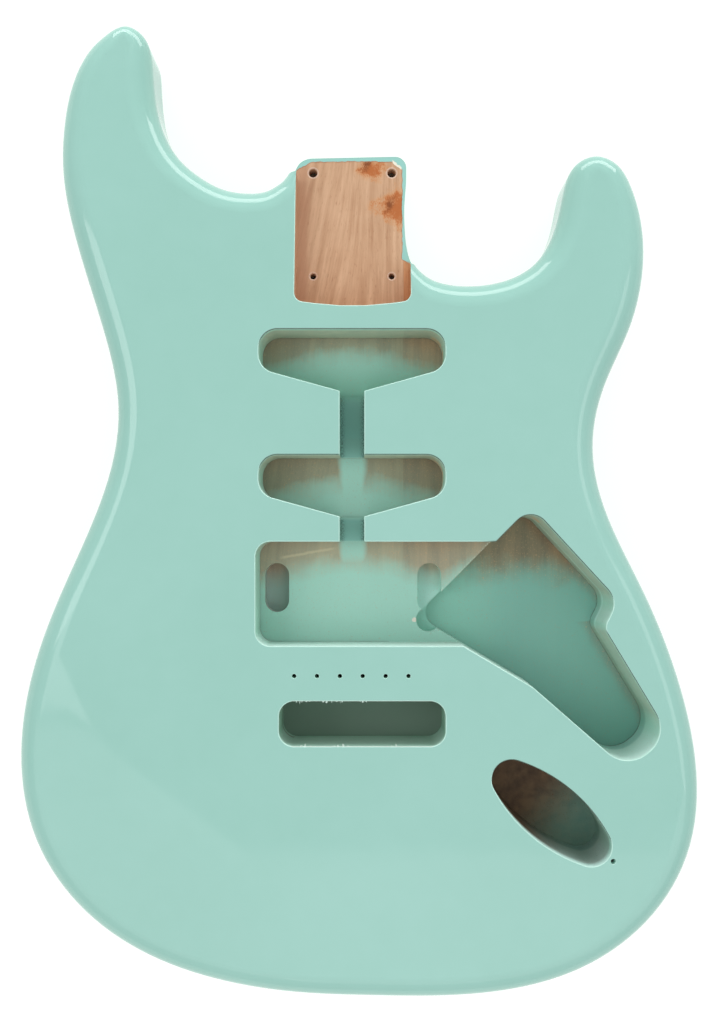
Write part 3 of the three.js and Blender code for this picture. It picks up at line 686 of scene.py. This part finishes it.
def bare_grain(at, pale, dark, lean, strips, knots):
    """A broad soft figure, straight fibres and short dark pores, with darker strips and knots."""
    leaning = (at.y - 40.0) * fade(at.x, 14.0, -12.0, 0.0, -lean)
    along = Field(node("CombineXYZ", X=at.x + leaning, Y=at.y, Z=at.z).outputs[0])
    figure = noise(along, (0.24, 0.014, 0.24), 3.0)
    at.fibres = noise(along, (1.5, 0.09, 1.5), 4.0)
    at.pores = noise(along, (3.2, 0.3, 3.2))
    tone = at.fibres * 0.3 + (figure * 0.75 + at.cloud * 0.15)
    wood = ramp(tone, [(0.45, dark), (0.75, pale)])
    wood = paint(wood, dark, fade(at.pores, 0.37, 0.30, 0.0, 0.35), "MULTIPLY")
    for start, end, share, tint in strips:
        edge = figure * (2 * abs(end - start)) + at.x
        wood = paint(wood, tint, fade(edge, start, end, 0.0, share))
    shaken = at.ragged * 1.7 + (at.speckle * 1.2 - 1.45)
    for (middle_x, middle_y), wide, high, fan, (heart_x, heart_y) in knots:
        across = (at.x - middle_x) * (1 / wide)
        along = (at.y - middle_y) * (1 / high) * (least(across, 0.0) * -fan + 1.0)
        reach = length_of(across, along) + shaken
        wood = paint(wood, srgb(206, 144, 90), fade(reach, 1.4, 0.7, 0.0, 0.6))
        wood = paint(wood, srgb(180, 100, 48), fade(reach, 1.05, 0.4, 0.0, 0.9))
        across = from_line(at, (heart_x, heart_y), (heart_x + 2.1, heart_y + 3.0)) * 0.34
        along = from_line(at, (heart_x, heart_y), (heart_x + 3.0, heart_y - 2.1)) * 0.2
        core = length_of(across, along) + shaken
        wood = paint(wood, srgb(118, 64, 34), fade(core, 1.0, 0.1, 0.0, 0.8))
    for line, radius in bolt_rows:
        ring = length_of(at.side - bolt_side, at.y - line)
        ring = fade(ring, radius + 0.9, radius + 0.5) * at.is_floor
        wood = paint(wood, srgb(226, 204, 188), ring * 0.55)
    return wood


def spray_mist(at):
    """How much mist the spray gun left: thick on the tail side of every floor, thin at the neck side."""
    drift = noise(at.mm, 0.11, 4.0)
    streaks = noise(at.mm, (1.1, 0.03, 0.3))
    shake = drift * 7.0 + (streaks * 2.5 - 4.75)
    ends = greatest(at.side - 12.0, 0.0) * fade(at.x, 60.0, 40.0, 0.0, 0.27)
    tail, neck = -222.0, 0.0
    down = node("MapRange", _0=at.y + shake + ends, _1=tail, _2=neck, _3=0.0, _4=1.0)
    stops = [
        (-165, 1.0), (-129, 1.0), (-124, 0.8), (-118.5, 0.4), (-104.5, 0.3), (-103.8, 1.0), (-91, 0.97),
        (-84.5, 0.75), (-78.5, 0.32), (-63.5, 0.2), (-62.5, 1.0), (-26, 0.97), (-21.5, 0.8),
        (-16.5, 0.36), (-9, 0.24),
    ]
    stops = [((line - tail) / (neck - tail), share) for line, share in stops]
    floor_mist = ramp(Field(down.outputs[0]), stops)
    plume = fade(at.side + shake * 0.3, 10.0, 4.0) * band(at.y, -135.0, -118.0, -72.0, -64.0)
    floor_mist = greatest(floor_mist, plume * 0.98)

    # The control cavity: bare along its neck wall
    neck_wall = from_line(at, control_corners[6][:2], apex)
    treble_wall = from_line(at, control_corners[4][:2], control_corners[5][:2])
    to_wall = abs(mix(fade(at.y, -151.5, -153.5), neck_wall, treble_wall))
    control_mist = fade(shake * 2.0 + at.y, -118.0, -138.0, 0.27, 0.98)
    control_mist = control_mist * fade(shake * 0.4 + to_wall, 0.3, 6.0, 0.72, 1.0)
    floor_mist = mix(at.in_controls, floor_mist, control_mist)

    mist = mix(at.is_floor, fade(at.to_y, -0.95, 0.2, 0.5, 0.93), floor_mist)
    mist = greatest(mist, fade(at.z, 36.0, 44.5) * 0.9)
    along_jack = (at.x - jack_middle[0]) * jack_along[0] + (at.y - jack_middle[1]) * jack_along[1]
    jack_mist = greatest(fade(along_jack + shake, -6.0, 26.0, 0.03, 0.6), fade(at.z, 32.0, 44.0))
    mist = mix(at.in_jack, mist, jack_mist)
    mist = limit(fade(at.speck, 0.62, 0.72) * -0.25 + mist)
    mist = greatest(mist, at.in_channel * 0.95)
    return limit(mist * (1.0 - at.in_pocket))


def mist_tint_light_and_shade(at):
    """The mist's green, with painted light and shade: lighter on the walls, most on walls that face the
    neck, and darker in the channel, the control cavity and the slot.
    """
    # Painted light: the walls' green is lighter than the floors', and lighter still on walls that face the
    # neck, where the low light falls.
    green = paint(srgb(178, 230, 214), srgb(214, 250, 243), fade(at.to_y, 0.0, 0.8))
    green = paint(green, srgb(159, 210, 195), at.is_floor)
    # Painted shade, broken up by speckles, along the sides of the channel's floor.
    channel_side_shade = at.in_channel * fade(at.side, 3.0, 5.6) * fade(at.speckle, 0.40, 0.62)
    for share, tint in (
        # Multiplied in: darker towards the tail end of the neck rout; painted shade in the channel, the
        # control cavity and the slot, which are deep, narrow hollows; lighter towards the control cavity's
        # bass side; pinker and darker in the bass leg slot and lighter in the treble one.
        (fade(at.y, -20.0, -41.0) * fade(at.y, -46.0, -41.0), (0.70, 0.86, 0.80)),
        (at.in_channel, (0.68, 0.82, 0.85)),
        (channel_side_shade, (0.42, 0.42, 0.42)),
        (at.in_controls, (0.63, 0.77, 0.77)),
        (at.in_controls * fade(at.x, 84.0, 44.0), (1.28, 1.25, 1.22)),
        (at.in_leg_slots * fade(at.x, -30.0, -31.0), (0.93, 0.72, 0.76)),
        (at.in_leg_slots * fade(at.x, 30.5, 31.5), (1.2, 1.12, 1.17)),
        (at.in_slot, (0.56, 0.68, 0.62)),
    ):
        green = paint(green, tint, share, "MULTIPLY")
    return green


def cavity_tone_and_wall_light(at, wood):
    """The wood in the cavities, toned grey-beige, darker on the floors than on the walls, the walls' lighter
    tone being painted light; dark brown in the jack cavity, bare wood darkened as painted shade.
    """
    # Painted light: the walls are toned lighter than the floors. Lighter too in the pool and on the floor at
    # the treble end of the neck rout.
    grey = paint(srgb(238, 226, 206), srgb(190, 183, 162), at.is_floor)
    grey = paint(grey, srgb(222, 206, 186), at.in_pool)
    treble_end = fade(at.y, -60.0, -50.0) * fade(at.x, 20.0, 32.0)
    grey = paint(grey, srgb(220, 210, 186), treble_end * at.is_floor)
    old = paint(wood, grey, 1.0, "MULTIPLY")
    # Painted shade over bare wood: the jack cavity is painted dark brown, far darker than the boards' own
    # wood, for the shade of that deep, narrow hollow.
    jack_dark_brown = ramp(at.cloud * 0.6 + at.ragged * 0.4, [(0.38, srgb(92, 66, 48)), (0.62, srgb(128, 98, 70))])
    old = paint(old, jack_dark_brown, at.in_jack)
    return paint(old, wood, at.in_pocket)


def cutter_marks(at, colour, mist):
    """Dark lines where a wall meets the floor, bare arcs at the ends, flecks and chips."""
    # A dark brown line, broken up by speckles, along the foot of each wall.
    to_floor = abs(at.z - fade(at.ridge, -1.0, 0.0, rout_floor, control_floor))
    wall_foot_line = at.is_wall * fade(to_floor, 1.5, 0.6) * fade(at.speckle, 0.25, 0.5, 0.35, 0.75)
    arcs = at.is_wall * fade(at.to_x, -0.25, -0.5) * fade(abs(at.z - 26.0), 4.2, 3.0)
    arcs = arcs * fade(at.y, -104.0, -103.0) * fade(at.ragged, 0.38, 0.5)
    flecks = fade(at.speck, 0.61, 0.68) * fade(mist, 0.9, 0.6, 0.0, 0.32)
    flecks = flecks * (1.0 - at.in_jack) * (1.0 - at.in_pocket)
    streak = fade(abs(at.ragged * 1.2 + from_line(at, (-35.6, -120.2), (-6.9, -115.0))), 0.9, 0.2)
    streak = streak * band(at.x, -37.0, -33.0, -12.0, -6.0) * at.is_floor * fade(at.y, -113.0, -114.0)
    chip = node("VectorMath", {"operation": "DISTANCE"}, _0=at.mm, _1=(30.4, -151.2, rout_floor))
    chip = fade(at.ragged * 2.0 + Field(chip.outputs["Value"]), 2.1, 1.9)
    slot_rim = at.is_wall * band(at.z, 19.6, 20.2, 20.9, 21.2) * fade(at.y, -148.5, -147.8)
    chips = fade(abs(at.ridge), 1.1, 0.4) * fade(at.speckle, 0.50, 0.60) * fade(at.y, -146.5, -145.0)
    chips = chips * band(at.z, 19.5, 20.5, 22.0, 23.0)
    for share, tint in (
        (wall_foot_line, srgb(92, 78, 62)), (arcs * 0.75, srgb(214, 176, 138)), (flecks, srgb(214, 200, 164)),
        (streak * 0.4, srgb(218, 206, 170)), (chip, srgb(228, 222, 208)),
        (slot_rim * 0.6, srgb(196, 236, 222)), (chips * 0.7, srgb(196, 205, 184)),
    ):
        colour = paint(colour, tint, share)
    return colour


def crept_lacquer(at, colour):
    """The lacquer that crept under the pocket's mask along its open edges, with a brown line."""
    over_top = 72.0 - at.y
    over_side = greatest(24.3 - at.x, from_line(at, (26.8, 22.9), (23.9, 24.8)))
    bass_corner = from_line(at, (-20.3, 71.8), (-27.0, 67.9))
    treble_corner = from_line(at, (23.5, 68.9), (19.4, 72.4))
    inside = least(over_top, over_side, bass_corner, treble_corner) + (at.ragged * 1.6 - 0.8)
    on_floor = at.is_floor * fade(at.y, 22.0, 24.0)
    colour = paint(colour, srgb(150, 84, 56), on_floor * fade(inside, 0.7, 0.1, 0.0, 0.6))
    crept = on_floor * fade(inside, 0.12, -0.05)
    colour = paint(colour, srgb(152, 206, 197), crept)
    torn = fade(abs(at.ragged * 2.4 + (treble_corner - 1.2)), 0.6, 0.35)
    torn = on_floor * torn * band(at.x, 19.2, 19.8, 23.6, 24.2)
    return paint(colour, srgb(236, 232, 214), torn), crept


def board_wood(name, pale, dark, lean=0.0, strips=(), knots=()):
    """Bare sanded hardwood, with the green mist that the spray gun left in the cavities, and painted light
    and shade in them.
    """
    made = empty_material(name)
    at = place_in(made.node_tree, "Normal")
    mark_zones(at)
    wood = bare_grain(at, pale, dark, lean, strips, knots)
    mist = spray_mist(at)
    colour = paint(cavity_tone_and_wall_light(at, wood), mist_tint_light_and_shade(at), mist * 0.97)
    colour, crept = crept_lacquer(at, cutter_marks(at, colour, mist))
    rough = crept * -0.45 + (at.fibres * 0.12 + 0.5)
    relief = at.fibres * 0.5 + at.pores * 0.5
    finish_surface(colour, rough, relief, 0.25, 0.2 * MM, Specular_IOR_Level=0.25)
    return made


# The figure turns darker towards the bass edge and along the treble seam. Two rusty knots lie at
# the pocket's open end.
strips = ((-15.5, -19.5, 0.6, srgb(188, 143, 114)), (25.1, 25.5, 0.9, srgb(186, 131, 90)))
knots = (((9.2, 68.6), 6.8, 5.0, 0.0, (7.2, 70.8)), ((22.2, 49.6), 12.4, 10.2, 1.4, (18.4, 50.8)))
centre_wood = board_wood("centre_board_wood", srgb(213, 175, 142), srgb(182, 140, 107), 0.2,
                         strips, knots)
bass_wood = board_wood("bass_board_wood", srgb(209, 167, 136), srgb(180, 135, 106), 0.1)
treble_wood = board_wood("treble_board_wood", srgb(206, 151, 108), srgb(170, 114, 74))

# The six boards: glued edge to edge with plain butt joints before the body is sawn and routed.
# The centre board is parted by the tremolo slot.
margin = 10.0
bass_end, treble_end = -bass_reach - margin, treble_reach + margin
tail_end, neck_end = -tail_reach - margin, horn_reach + margin
bass_seam, treble_seam = -bass_reach * 0.502, treble_reach * 0.47
centre_bass, centre_treble = -28, 25
boards = {
    "bass_outer_board": (bass_end, bass_seam, tail_end, neck_end, bass_wood),
    "bass_inner_board": (bass_seam, centre_bass, tail_end, neck_end, bass_wood),
    "centre_board": (centre_bass, centre_treble, slot_middle, neck_end, centre_wood),
    "centre_tail_board": (centre_bass, centre_treble, tail_end, slot_middle, centre_wood),
    "treble_inner_board": (centre_treble, treble_seam, tail_end, neck_end, treble_wood),
    "treble_outer_board": (treble_seam, treble_end, tail_end, neck_end, treble_wood),
}
for board, (left, right, bottom, top, wood) in boards.items():
    slab = cutter(box_outline(left, right, bottom, top), [(back_bottom, 0), (front_top, 0)])
    piece = bpy.data.objects.new(board.replace("_board", "_wood"), blank.data.copy())
    bpy.context.scene.collection.objects.link(piece)
    carve(piece, [slab], "INTERSECT")
    scrap([slab])
    piece.data.materials.clear()
    piece.data.materials.append(wood)
    piece.data.set_sharp_from_angle(angle=math.radians(30))
    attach(piece, "root")
    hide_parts(board)
scrap([blank])

# The lacquer coat: pale green gloss lacquer, half a millimetre thick, sprayed over the whole blank and
# sanded back at the rims, which carry a painted highlight and painted shade. The pocket was masked, so its
# floor stays bare wood.
rim, small_rim_share = 0.6, 0.45
lip = [(rim * math.sin(turn), rim * (1 - math.cos(turn)))
       for turn in (math.radians(degrees) for degrees in (15, 30, 45, 60, 75, 84))]
front_lip = [(body_thickness - rim + up, wide) for up, wide in lip] + [(front_top, 1.0)]
back_lip = [(back_bottom, 1.0)] + [(rim - up, wide) for up, wide in reversed(lip)] + [(rim, 0)]
small_lip = [(body_thickness - rim * small_rim_share, 0)]
small_lip += [(body_thickness - (rim - up) * small_rim_share, wide * small_rim_share) for up, wide in lip]
small_lip += [(front_top, 0.5)]
coat_cuts = [
    cutter(path, [(bottom, 0), (body_thickness - rim, 0)] + front_lip) for path, bottom in front_routs
]
coat_cuts += [cutter(path, [(pocket_floor, 0), (front_top, 0)]) for path in blades]
coat_cuts += [cutter(path, [(40.0, 0)] + small_lip) for path in (plate_screw, *bridge_screws)]
coat_cuts += [cutter(path, back_lip + [(spring_roof, 0)]) for path in (spring_run, block_recess)]
coat_cuts += [cutter(path, back_lip + [(5.0, 0)]) for path in neck_bolts]
count = len(skin_corners)
coat = mesh_object(
    "lacquer_coat",
    np.concatenate([skin_corners, skin_corners - skin_outs * film]),
    skin_faces + [[i + count for i in face[::-1]] for face in skin_faces],
)
lean = coat.data.attributes.new("lean", "FLOAT_VECTOR", "CORNER")
corner_of = np.zeros(len(coat.data.loops), dtype=np.int32)
coat.data.loops.foreach_get("vertex_index", corner_of)
leans = np.concatenate([skin_outs, np.zeros_like(skin_outs)])[corner_of]
lean.data.foreach_set("vector", leans.astype(np.float32).ravel())
carve(coat, coat_cuts)
scrap(coat_cuts)

# Small flakes of lacquer that the cutter lifted still hang over the edges of the slot. Each is
# the hull of twelve points, four of them sunk in the coat.
chances = random.Random(11)
flakes = bmesh.new()
for start, end, edge, inward in (
    (-26.5, -19.5, slot_front, -1), (-14.0, -4.0, slot_front, -1), (3.5, 7.5, slot_front, -1),
    (-24.5, -17.0, slot_tail, 1), (-9.5, -2.0, slot_tail, 1), (16.5, 21.5, slot_tail, 1),
):
    place = start
    while place < end:
        wide, deep = chances.uniform(0.3, 1.2), chances.uniform(0.2, 1.25)**2 + 0.15
        points = []
        for k in range(12):
            hangs = k > 3
            reach = chances.uniform(0.0, deep) if hangs else -0.3
            level = chances.uniform(0.2, 1.1) if hangs else chances.uniform(0.2, 0.4)
            point = (place + chances.uniform(0, wide), edge + inward * reach, body_thickness - level)
            points.append(flakes.verts.new(Vector(point) * MM))
        hull = bmesh.ops.convex_hull(flakes, input=points, use_existing_faces=False)
        unused = set(hull["geom_unused"] + hull["geom_interior"])
        unused = [part for part in unused if isinstance(part, bmesh.types.BMVert)]
        bmesh.ops.delete(flakes, geom=unused, context="VERTS")
        place += wide + chances.uniform(0.1, 1.9)
bmesh.ops.recalc_face_normals(flakes, faces=flakes.faces)
flakes_mesh = bpy.data.meshes.new("flakes")
flakes.to_mesh(flakes_mesh)
flakes.free()
flake_piece = bpy.data.objects.new("flakes", flakes_mesh)
bpy.context.scene.collection.objects.link(flake_piece)
carve(coat, [flake_piece], "UNION")
scrap([flake_piece])

# The rounded edges shine as one smooth curve: the skin keeps the blank's own outward directions
coat.data.set_sharp_from_angle(angle=math.radians(40))
leans = np.zeros(len(coat.data.loops) * 3, dtype=np.float32)
coat.data.attributes["lean"].data.foreach_get("vector", leans)
leans = leans.reshape(-1, 3)
lengths = np.linalg.norm(leans, axis=1)
smooth = lengths >= 0.9
leans[~smooth] = 0
leans[smooth] /= lengths[smooth][:, None]
coat.data.normals_split_custom_set([tuple(v) for v in leans.tolist()])
coat.data.attributes.remove(coat.data.attributes["lean"])

lacquer = empty_material("pale_green_gloss_lacquer")
at = place_in(lacquer.node_tree, "True Normal")
mottle = noise(at.mm, 0.09, 3.0)
tint = noise(at.mm, 0.012) * 0.7 + mottle * 0.3
colour = ramp(tint, [(0.3, srgb(151, 200, 188)), (0.7, srgb(156, 204, 193))])
# Painted highlight and painted shade on the coat's rims: rims that face the neck, and all rims by the pool,
# are painted pale mint where the low light from the neck side would catch them; rims that face the tail get
# a dark painted line of shade.
on_rim = fade(at.z, 44.2, 44.35) * fade(at.to_z, 0.96, 0.9)
by_pool = fade(at.y, -80.0, -100.0) * fade(at.x, 70.0, 60.0)
rim_highlight = on_rim * greatest(by_pool, fade(at.to_y, -0.4, 0.0))
colour = paint(colour, srgb(206, 243, 231), rim_highlight * 0.8)
thin = limit((on_rim - by_pool) * fade(at.to_y, -0.12, -0.35))
colour = paint(colour, srgb(74, 80, 70), thin * 0.9)
across_slot = fade(abs(at.y - slot_middle), 11.0, 10.8)
along_slot = fade(abs(at.x - (slot_bass + slot_treble) / 2), 34.0, 33.0)
colour = paint(colour, srgb(204, 224, 214), across_slot * along_slot * fade(at.z, 43.0, 43.2))
finish_surface(colour, mottle * 0.05 + 0.04, noise(at.mm, 0.35), 0.05, 0.1 * MM)
coat.data.materials.clear()
coat.data.materials.append(lacquer)
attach(coat, "root")

# Floor: a plain pale table that the body lies on, wide enough for every view, though its own matt colour is
# a grey-green: in the shade under the body, seen through the slot, it is painted shade tinted with the green
# light off the slot's painted walls. It glows to the eye, so that it reads as white paper, but not in the
# shade right under the body. Only its upper side shows, so that the back can be looked at from below.
floor_half, floor_level = 60000, 0.1
floor = mesh_object("floor", [(x * floor_half, y * floor_half, floor_level)
                              for x, y in ((-1, -1), (1, -1), (1, 1), (-1, 1))], [[0, 1, 2, 3]])
paper = empty_material("white_table")
at = place_in(paper.node_tree, "Normal")
rays = node("LightPath", tree=paper.node_tree).outputs
seen = greatest(*(Field(rays[kind]) for kind in ("Is Camera Ray", "Is Glossy Ray", "Is Transmission Ray")))
off_middle = greatest(abs(at.x), abs(at.y + 190.0))
glow = Field(node("Emission", Strength=seen * fade(off_middle, 75.0, 95.0, 0.0, 0.8)).outputs[0])
# Painted shade: the matt grey-green stands in for the green-tinted shade seen through the slot.
matt = Field(node("BsdfDiffuse", tree=paper.node_tree, Color=(0.27, 0.355, 0.30)).outputs[0])
white = Field(node("AddShader", _0=matt, _1=glow).outputs[0])
clear = Field(node("BsdfTransparent", tree=paper.node_tree).outputs[0])
underside = Field(node("NewGeometry", tree=paper.node_tree).outputs["Backfacing"])
node("OutputMaterial", Surface=Field(node("MixShader", _0=underside, _1=white, _2=clear).outputs[0]))
floor.data.materials.append(paper)

# Light: a pale room with soft panels round the body. One hangs over the tail, one over the bass
# side, and the rest stand low and draw the bright lines along the rounded edges.
world = bpy.data.worlds.new("room")
bpy.context.scene.world = world
world.use_nodes = True
world.node_tree.nodes.clear()
sky = Field(node("Background", tree=world.node_tree, Color=(1, 1, 1), Strength=0.695).outputs[0])
node("OutputWorld", Surface=sky)


def panel(name, place, aim, width, height, glow):
    """A soft light panel of an even glow, given as what it looks like in a mirror."""
    lamp = bpy.data.lights.new(name, "AREA")
    lamp.shape = "RECTANGLE"
    lamp.size, lamp.size_y = width, height
    lamp.energy = glow * width * height * math.pi
    piece = bpy.data.objects.new(name, lamp)
    piece.location = place
    toward = np.array(aim, float) - np.array(place, float)
    piece.rotation_euler = Vector(toward).to_track_quat("-Z", "Y").to_euler()
    bpy.context.scene.collection.objects.link(piece)
    return piece


panel("tail_panel", (0, -1.883, 1.945), (0, -1.883, 0), 6.0, 2.2, 0.63)
panel("bass_tail_panel", (-1.465, -0.4475, 1.945), (-1.465, -0.4475, 0), 1.0, 0.595, 1.4)
panel("bass_panel", (-1.93, 0.15, 1.945), (-1.93, 0.15, 0), 1.93, 0.6, 2.6)
panel("treble_panel", (1.6, -0.135, 1.52), (0, -0.135, 1.52), 0.97, 0.85, 1.5)
panel("neck_panel", (0.2, 1.25, 0.3), (0.05, -0.1, 0), 1.9, 0.5, 4.2)
under = panel("under_panel", (0, -0.1, -1.6), (0, -0.1, 0), 0.9, 0.9, 3.2)
# The one below shines up through the table, so only the body's own pieces stand in its way
body_pieces = bpy.data.collections.new("body_pieces")
for piece in bpy.context.scene.objects:
    if piece.type == "MESH" and piece != floor:
        body_pieces.objects.link(piece)
under.light_linking.blocker_collection = body_pieces
under.visible_glossy = False

# Camera: straight above the front, at the photograph's distance.
view = bpy.data.cameras.new("camera")
view.sensor_width = 36
view.lens = 39.13
view.shift_x, view.shift_y = -0.0078, 0.0322
view.clip_start, view.clip_end = 0.01, 50
camera = bpy.data.objects.new("camera", view)
camera.location = (0.0071, -0.1144, 0.570)
bpy.context.scene.collection.objects.link(camera)
bpy.context.scene.camera = camera
bpy.context.scene.view_settings.view_transform = "Standard"
